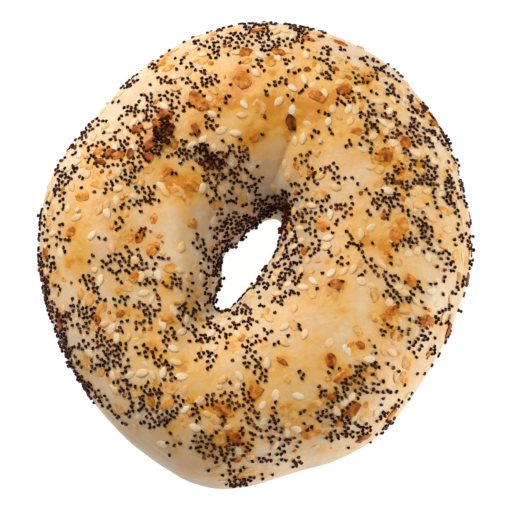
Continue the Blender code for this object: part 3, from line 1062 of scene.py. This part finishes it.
def poppy_places(chance, ground):
    """Places in clumps, in rows, and loose in small groups."""
    places = []
    for round_, over, count in CLUMPS:
        middle = places_on_crust([(round_, over)])[0]
        heaped = count >= HEAPED_COUNT
        members = clump(middle, count, HEAP_SLACK if heaped else CLUMP_SLACK, chance, ground)
        places += members
        if heaped:
            second = heap_on(members, chance, ground)
            places += second + heap_on(second[:len(second) // 2], chance, ground)
    for row, thickness, share in POPPY_ROWS:
        corners = places_on_crust(row)
        for start, end in zip(corners, corners[1:]):
            steps = int(np.linalg.norm(end - start) / (2 * POPPY_ROOM)) + 1
            for part in np.arange(steps) / steps:
                if chance.random() < share:
                    members = clump(start + part * (end - start), thickness, CLUMP_SLACK, chance, ground)
                    places += members + heap_on(members[:1], chance, ground)
    for place in strewn(LOOSE_GROUP_COUNT, POPPY_ROOM, poppy_share, chance, ground):
        others = int(chance.choice(LOOSE_GROUPS)) - 1
        places += [place] + clump(place, others, LOOSE_SLACK, chance, ground)
    return places


def poppy_seeds(chance, ground):
    """Copies of the poppy seeds, tumbled."""
    seed = poppy_shape()
    copies = []
    for place in poppy_places(chance, ground):
        size = between(POPPY_SIZES, chance)
        base, outward = ground.seat(place)
        lift = (place - base).dot(outward) + POPPY_LIFT
        tumble = Matrix.Rotation(tilted(POPPY_TUMBLE, chance), 4, "X")
        matrix = ground.frame(place, chance.random() * tau, lift) @ tumble
        copies.append((seed, sized(matrix, size, size, size), between(POPPY_TINTS, chance)))
    return copies


# The studio

def plane(name, level, brightness):
    """A wide level square that glows, which stands for a pale floor lit from all sides."""
    half, grey = 4.0, 0.15
    material, _, shader = new_material(name, roughness=0.9, specular=0.1)
    shader.inputs["Base Color"].default_value = (grey, grey, grey, 1)
    shader.inputs["Emission Color"].default_value = (1, 1, 1, 1)
    shader.inputs["Emission Strength"].default_value = brightness
    corners = [(-half, -half, 0), (half, -half, 0), (half, half, 0), (-half, half, 0)]
    made = mesh_object(name, corners, [(0, 1, 2, 3)], material)
    made.location.z = level
    return made


def area_light(name, place, width, height, power):
    """A light that faces the bagel."""
    lamp = bpy.data.lights.new(name, "AREA")
    lamp.shape = "RECTANGLE"
    lamp.size = width
    lamp.size_y = height
    lamp.energy = power
    made = added(name, lamp)
    made.location = place
    made.rotation_euler = (-Vector(place)).to_track_quat("-Z", "Y").to_euler()


def studio():
    # The bagel is lit from below by the second, dimmer floor instead of by the one that shows
    plane("floor", level=-0.1 * MM, brightness=0.97).visible_diffuse = False
    plane("bounce", level=-1.0 * MM, brightness=0.40)
    area_light("key", (-0.39, 0.575, 0.72), width=0.8, height=0.8, power=10.4)
    area_light("fill", (0.66, -0.66, 0.75), width=0.7, height=0.7, power=2.1)
    area_light("right", (1.0, -0.3, 0.05), width=0.8, height=0.10, power=7.0)
    area_light("front", (-0.75, -0.8, 0.05), width=0.5, height=0.08, power=0.7)
    world = bpy.data.worlds.new("world")
    world.use_nodes = True
    background = world.node_tree.nodes["Background"]
    background.inputs["Color"].default_value = (1, 1, 1, 1)
    background.inputs["Strength"].default_value = 0.15
    bpy.context.scene.world = world
    bpy.context.scene.view_settings.view_transform = "Standard"


def camera():
    made = added("camera", bpy.data.cameras.new("camera"))
    made.data.sensor_width = SENSOR_WIDTH
    made.data.lens = FOCAL_PIXELS / PICTURE_PIXELS * SENSOR_WIDTH
    back = Vector((0, -cos(ELEVATION), sin(ELEVATION)))
    made.location = TARGET + DISTANCE * back
    made.rotation_euler = back.to_track_quat("Z", "Y").to_euler()
    bpy.context.scene.camera = made


def main():
    studio()
    camera()
    crust = crust_object()
    copies, stains = topping(Ground(crust))
    stain_crust(crust, stains)
    half = len(copies["poppies"]) // 2
    pieces = ((crust, "crust"),
              (joined("onion_flakes", copies["flakes"], flake_material()), "flakes"),
              (joined("garlic_bits", copies["garlic"], garlic_material()), "flakes"),
              (joined("sesame_seeds", copies["sesame"], sesame_material()), "sesame"),
              (joined("salt_crystals", copies["salt"], salt_material()), "sesame"),
              (joined("poppy_seeds_a", copies["poppies"][:half], poppy_material()), "poppy_seed"),
              (joined("poppy_seeds_b", copies["poppies"][half:], poppy_material()), "poppy_seed"))
    for piece, slot in pieces:
        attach(piece, "root")
        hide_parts("bagel")


main()
